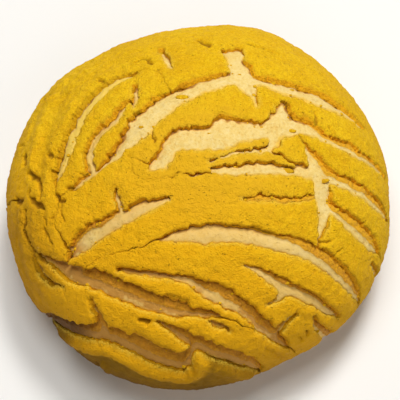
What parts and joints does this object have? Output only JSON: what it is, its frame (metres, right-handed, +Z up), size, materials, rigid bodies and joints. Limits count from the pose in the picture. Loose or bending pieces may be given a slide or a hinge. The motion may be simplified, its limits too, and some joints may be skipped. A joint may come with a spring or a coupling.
{
  "type": "concha",
  "caption": "Round sweet bread bun with a cracked crust of yellow sugar paste, resting on a flat base.",
  "frame": {"origin": "centre of the bounding box, at the flat base that the bread rests on", "axes": "+Z up through the crown, +X to the right and +Y away from someone who looks at the crust's widest cracks, which run across the near half"},
  "size_m": [0.1184, 0.1168, 0.058],
  "materials": {
    "bread": null,
    "sugar_paste": null
  },
  "bodies": {
    "root": {"bun": "bread", "crust_back": "sugar_paste", "crust_left": "sugar_paste", "crust_heart": "sugar_paste", "crust_island": "sugar_paste", "crust_middle": "sugar_paste", "crust_right_upper": "sugar_paste", "crust_right_lower": "sugar_paste", "crust_belly": "sugar_paste", "crust_lower": "sugar_paste", "crust_front": "sugar_paste"}
  },
  "joints": []
}
